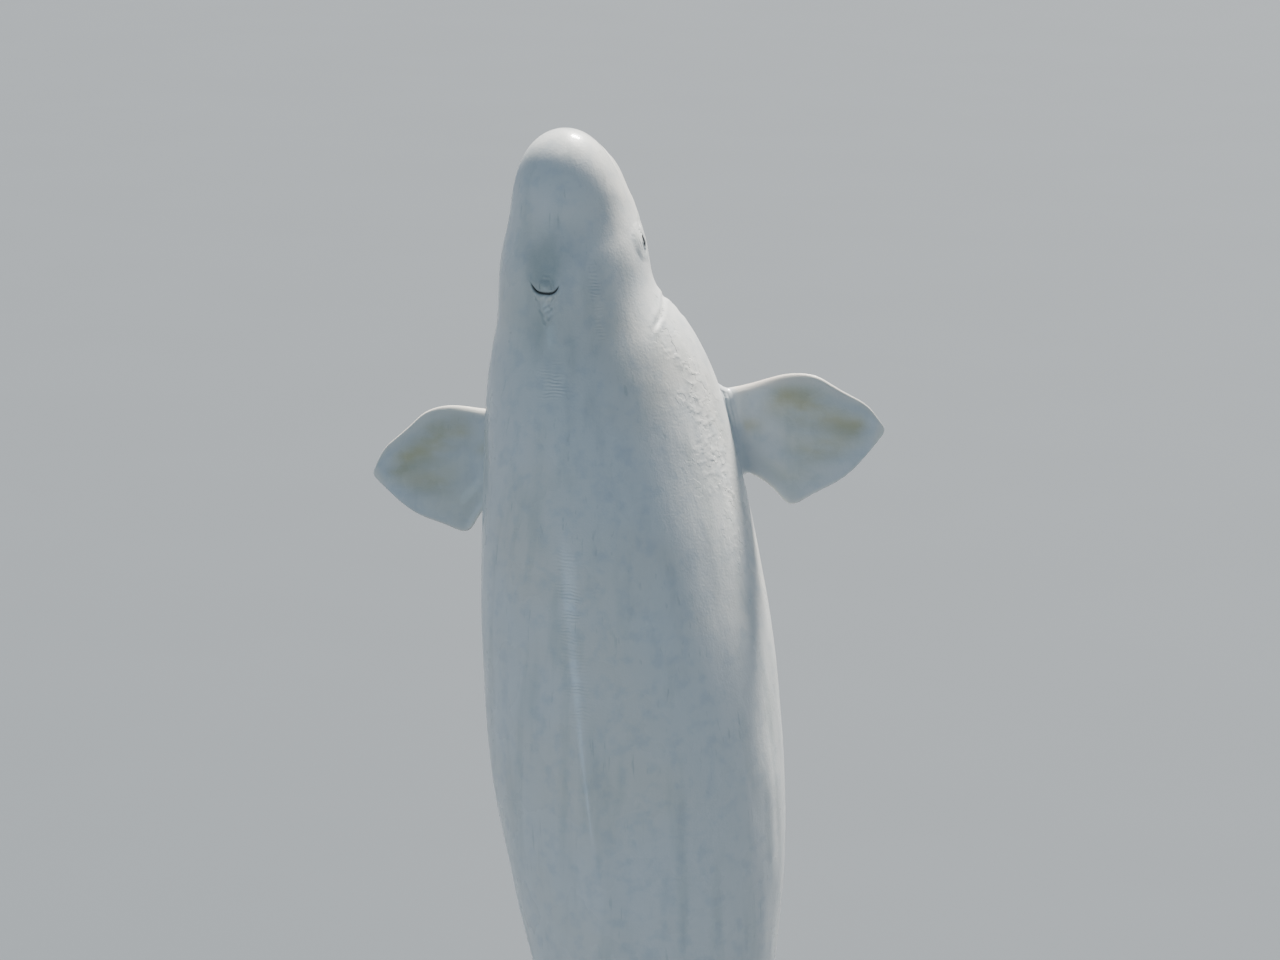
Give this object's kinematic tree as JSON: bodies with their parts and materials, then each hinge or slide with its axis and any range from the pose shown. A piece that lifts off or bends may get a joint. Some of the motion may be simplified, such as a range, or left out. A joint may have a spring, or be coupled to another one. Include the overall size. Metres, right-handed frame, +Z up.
{
  "type": "beluga whale",
  "caption": "White toothed whale with a rounded melon, broad flippers and notched flukes, risen upright on a plain display stand, as a still life-size museum model.",
  "frame": {"origin": "middle of the display stand's underside, on the floor", "axes": "+Z up along the risen body towards the head, -Y the way the whale's back faces, +X to the whale's right"},
  "size_m": [1.6563, 1.3, 3.7254],
  "materials": {
    "skin": "wet, smooth and glossy, white with grey shading and cream flipper edges",
    "eye": "wet, near black",
    "stand_base": "satin dark paint",
    "stand_rod": "brushed"
  },
  "bodies": {
    "root": {"head": "skin", "lower_jaw": "skin", "neck": "skin", "chest": "skin", "abdomen": "skin", "tail_stock": "skin", "fluke_right": "skin", "fluke_left": "skin", "flipper_right": "skin", "flipper_left": "skin", "eye_right": "eye", "eye_left": "eye", "stand_base": "stand_base", "stand_rod_front": "stand_rod", "stand_rod_back": "stand_rod"}
  },
  "joints": []
}
